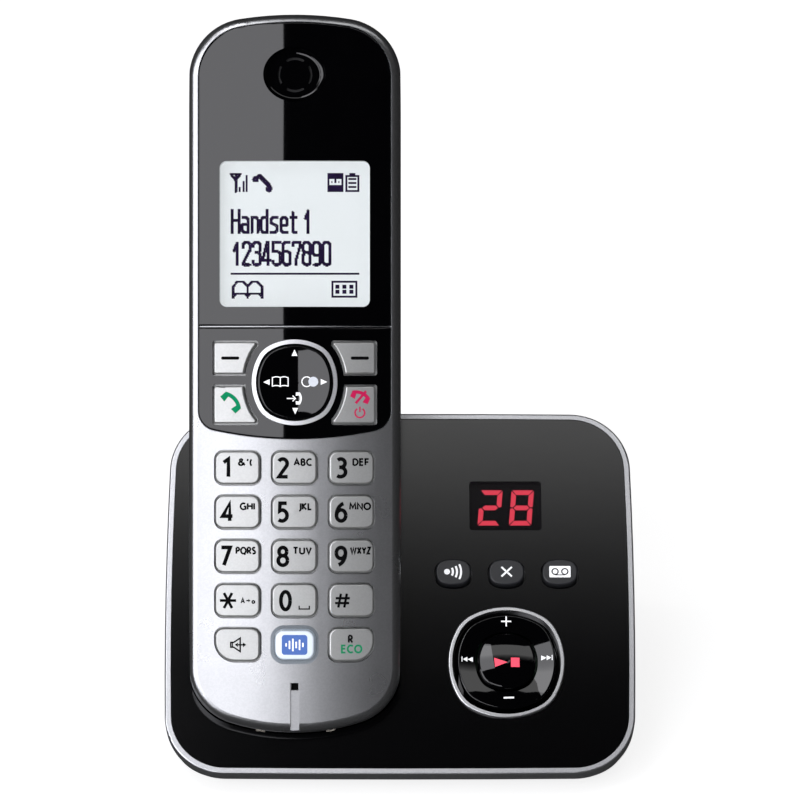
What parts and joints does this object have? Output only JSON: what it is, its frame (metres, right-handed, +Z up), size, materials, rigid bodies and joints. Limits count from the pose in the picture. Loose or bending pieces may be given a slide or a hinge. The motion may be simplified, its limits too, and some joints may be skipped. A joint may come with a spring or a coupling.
{
  "type": "cordless phone with base",
  "caption": "Cordless telephone handset standing in a sloping charging base with answering machine controls.",
  "frame": {"origin": "on the table, under the middle of the whole object's bounding box", "axes": "+Z up, +X to the user's right, -Y towards the user"},
  "size_m": [0.1082, 0.0964, 0.1586],
  "materials": {
    "silver_paint": "satin metallic paint on ABS",
    "silver_key": "fine matt metallic paint on key caps",
    "white_key": "milky translucent acrylic",
    "black_gloss": "high gloss piano black acrylic",
    "pivot_black": "natural black acetal",
    "deck_black": "polished black ABS",
    "grey_key": "satin dark grey ABS",
    "case_black": "fine spark-textured black ABS",
    "clear_window": "clear hard-coated acrylic",
    "smoked_window": "smoked clear acrylic",
    "lcd": "lit dot-matrix display glass",
    "led": "black light box with red segments",
    "rubber": "matt black rubber",
    "silicone": "grey silicone sheet",
    "circuit_board": "green solder mask on glass-epoxy board",
    "screw_steel": "black-passivated steel",
    "contact_nickel": "nickel-plated spring steel",
    "speaker": "black painted steel basket",
    "microphone_can": "drawn aluminium can",
    "cell_wrap": "printed film wrap over a metal can",
    "jack_black": "smooth black nylon",
    "jack_yellow": "smooth amber nylon"
  },
  "bodies": {
    "base": {"base_bottom_housing": "case_black", "base_top_cover": "deck_black", "base_trim_band": "silver_paint", "base_display_window": "smoked_window", "base_led_module": "led", "base_main_board": "circuit_board", "base_speaker": "speaker", "base_power_jack": "jack_yellow", "base_line_jack": "jack_black", "base_feet": "rubber", "base_screws": "screw_steel", "base_rocker_ring": "silver_paint", "base_rocker_bracket": "pivot_black"},
    "handset": {"handset_front_shell": "silver_paint", "handset_rear_shell": "case_black", "display_panel": "black_gloss", "navigation_panel": "black_gloss", "display_window": "clear_window", "lcd_module": "lcd", "navigation_ring": "silver_paint", "keypad_mat": "silicone", "handset_main_board": "circuit_board", "earpiece_speaker": "speaker", "ringer_speaker": "speaker", "microphone": "microphone_can", "battery_cells": "cell_wrap", "battery_contacts": "contact_nickel", "handset_charge_contacts": "contact_nickel", "handset_screws": "screw_steel", "navigation_bracket": "pivot_black"},
    "charge_contact_left": {"charge_contact_left": "contact_nickel"},
    "charge_contact_right": {"charge_contact_right": "contact_nickel"},
    "base_locator_key": {"base_locator_key": "grey_key"},
    "base_erase_key": {"base_erase_key": "grey_key"},
    "base_answer_key": {"base_answer_key": "grey_key"},
    "base_rocker_pivot": {"base_rocker_pivot": "pivot_black"},
    "base_rocker_key": {"base_rocker_key": "black_gloss"},
    "base_play_key": {"base_play_key": "black_gloss"},
    "navigation_pivot": {"navigation_pivot": "pivot_black"},
    "navigation_key": {"navigation_key": "black_gloss"},
    "soft_key_left": {"soft_key_left": "silver_key"},
    "soft_key_right": {"soft_key_right": "silver_key"},
    "talk_key": {"talk_key": "silver_key"},
    "off_key": {"off_key": "silver_key"},
    "key_speaker": {"key_speaker": "silver_key"},
    "key_noise": {"key_noise": "white_key"},
    "key_recall": {"key_recall": "silver_key"},
    "key_star": {"key_star": "silver_key"},
    "key_0": {"key_0": "silver_key"},
    "key_hash": {"key_hash": "silver_key"},
    "key_7": {"key_7": "silver_key"},
    "key_8": {"key_8": "silver_key"},
    "key_9": {"key_9": "silver_key"},
    "key_4": {"key_4": "silver_key"},
    "key_5": {"key_5": "silver_key"},
    "key_6": {"key_6": "silver_key"},
    "key_1": {"key_1": "silver_key"},
    "key_2": {"key_2": "silver_key"},
    "key_3": {"key_3": "silver_key"},
    "battery_cover": {"battery_cover": "case_black"}
  },
  "joints": [
    {"name": "handset_lift", "type": "slide", "parent": "base", "child": "handset", "axis": [0, 0.4695, 0.8829], "range_m": [0, 0.16]},
    {"name": "charge_contact_left_travel", "type": "slide", "parent": "base", "child": "charge_contact_left", "axis": [0, -0.4695, -0.8829], "range_m": [0, 0.001], "stiffness_N_per_m": 300, "springref_m": -0.0005},
    {"name": "charge_contact_right_travel", "type": "slide", "parent": "base", "child": "charge_contact_right", "axis": [0, -0.4695, -0.8829], "range_m": [0, 0.001], "stiffness_N_per_m": 300, "springref_m": -0.0005},
    {"name": "base_locator_key_press", "type": "slide", "parent": "base", "child": "base_locator_key", "axis": [0, 0.6494, -0.7604], "range_m": [0, 0.0008], "stiffness_N_per_m": 300, "springref_m": -0.0005},
    {"name": "base_erase_key_press", "type": "slide", "parent": "base", "child": "base_erase_key", "axis": [0, 0.6494, -0.7604], "range_m": [0, 0.0008], "stiffness_N_per_m": 300, "springref_m": -0.0005},
    {"name": "base_answer_key_press", "type": "slide", "parent": "base", "child": "base_answer_key", "axis": [0, 0.6494, -0.7604], "range_m": [0, 0.0008], "stiffness_N_per_m": 300, "springref_m": -0.0005},
    {"name": "volume_tilt", "type": "hinge", "parent": "base", "child": "base_rocker_pivot", "pos_m": [0.0244, -0.02622, 0.02199], "axis": [1, 0, 0], "range_deg": [-2, 2], "stiffness_Nm_per_rad": 0.03},
    {"name": "skip_tilt", "type": "hinge", "parent": "base_rocker_pivot", "child": "base_rocker_key", "pos_m": [0.0244, -0.02622, 0.02199], "axis": [0, 0.7604, 0.6494], "range_deg": [-2, 2], "stiffness_Nm_per_rad": 0.03},
    {"name": "base_play_key_press", "type": "slide", "parent": "base", "child": "base_play_key", "axis": [0, 0.6494, -0.7604], "range_m": [0, 0.0006], "stiffness_N_per_m": 300, "springref_m": -0.0005},
    {"name": "scroll_tilt", "type": "hinge", "parent": "handset", "child": "navigation_pivot", "pos_m": [-0.0239, -0.00506, 0.08467], "axis": [1, 0, 0], "range_deg": [-2, 2], "stiffness_Nm_per_rad": 0.02},
    {"name": "menu_tilt", "type": "hinge", "parent": "navigation_pivot", "child": "navigation_key", "pos_m": [-0.0239, -0.00506, 0.08467], "axis": [0, 0.4695, 0.8829], "range_deg": [-2, 2], "stiffness_Nm_per_rad": 0.02},
    {"name": "soft_key_left_press", "type": "slide", "parent": "handset", "child": "soft_key_left", "axis": [0, 0.8829, -0.4695], "range_m": [0, 0.0006], "stiffness_N_per_m": 250, "springref_m": -0.0005},
    {"name": "soft_key_right_press", "type": "slide", "parent": "handset", "child": "soft_key_right", "axis": [0, 0.8829, -0.4695], "range_m": [0, 0.0006], "stiffness_N_per_m": 250, "springref_m": -0.0005},
    {"name": "talk_key_press", "type": "slide", "parent": "handset", "child": "talk_key", "axis": [0, 0.8829, -0.4695], "range_m": [0, 0.0006], "stiffness_N_per_m": 250, "springref_m": -0.0005},
    {"name": "off_key_press", "type": "slide", "parent": "handset", "child": "off_key", "axis": [0, 0.8829, -0.4695], "range_m": [0, 0.0006], "stiffness_N_per_m": 250, "springref_m": -0.0005},
    {"name": "key_speaker_press", "type": "slide", "parent": "handset", "child": "key_speaker", "axis": [0, 0.8829, -0.4695], "range_m": [0, 0.0006], "stiffness_N_per_m": 250, "springref_m": -0.0005},
    {"name": "key_noise_press", "type": "slide", "parent": "handset", "child": "key_noise", "axis": [0, 0.8829, -0.4695], "range_m": [0, 0.0006], "stiffness_N_per_m": 250, "springref_m": -0.0005},
    {"name": "key_recall_press", "type": "slide", "parent": "handset", "child": "key_recall", "axis": [0, 0.8829, -0.4695], "range_m": [0, 0.0006], "stiffness_N_per_m": 250, "springref_m": -0.0005},
    {"name": "key_star_press", "type": "slide", "parent": "handset", "child": "key_star", "axis": [0, 0.8829, -0.4695], "range_m": [0, 0.0006], "stiffness_N_per_m": 250, "springref_m": -0.0005},
    {"name": "key_0_press", "type": "slide", "parent": "handset", "child": "key_0", "axis": [0, 0.8829, -0.4695], "range_m": [0, 0.0006], "stiffness_N_per_m": 250, "springref_m": -0.0005},
    {"name": "key_hash_press", "type": "slide", "parent": "handset", "child": "key_hash", "axis": [0, 0.8829, -0.4695], "range_m": [0, 0.0006], "stiffness_N_per_m": 250, "springref_m": -0.0005},
    {"name": "key_7_press", "type": "slide", "parent": "handset", "child": "key_7", "axis": [0, 0.8829, -0.4695], "range_m": [0, 0.0006], "stiffness_N_per_m": 250, "springref_m": -0.0005},
    {"name": "key_8_press", "type": "slide", "parent": "handset", "child": "key_8", "axis": [0, 0.8829, -0.4695], "range_m": [0, 0.0006], "stiffness_N_per_m": 250, "springref_m": -0.0005},
    {"name": "key_9_press", "type": "slide", "parent": "handset", "child": "key_9", "axis": [0, 0.8829, -0.4695], "range_m": [0, 0.0006], "stiffness_N_per_m": 250, "springref_m": -0.0005},
    {"name": "key_4_press", "type": "slide", "parent": "handset", "child": "key_4", "axis": [0, 0.8829, -0.4695], "range_m": [0, 0.0006], "stiffness_N_per_m": 250, "springref_m": -0.0005},
    {"name": "key_5_press", "type": "slide", "parent": "handset", "child": "key_5", "axis": [0, 0.8829, -0.4695], "range_m": [0, 0.0006], "stiffness_N_per_m": 250, "springref_m": -0.0005},
    {"name": "key_6_press", "type": "slide", "parent": "handset", "child": "key_6", "axis": [0, 0.8829, -0.4695], "range_m": [0, 0.0006], "stiffness_N_per_m": 250, "springref_m": -0.0005},
    {"name": "key_1_press", "type": "slide", "parent": "handset", "child": "key_1", "axis": [0, 0.8829, -0.4695], "range_m": [0, 0.0006], "stiffness_N_per_m": 250, "springref_m": -0.0005},
    {"name": "key_2_press", "type": "slide", "parent": "handset", "child": "key_2", "axis": [0, 0.8829, -0.4695], "range_m": [0, 0.0006], "stiffness_N_per_m": 250, "springref_m": -0.0005},
    {"name": "key_3_press", "type": "slide", "parent": "handset", "child": "key_3", "axis": [0, 0.8829, -0.4695], "range_m": [0, 0.0006], "stiffness_N_per_m": 250, "springref_m": -0.0005},
    {"name": "battery_cover_swing", "type": "hinge", "parent": "handset", "child": "battery_cover", "pos_m": [-0.0239, 0.01621, 0.07126], "axis": [-1, 0, 0], "range_deg": [0, 80]}
  ]
}
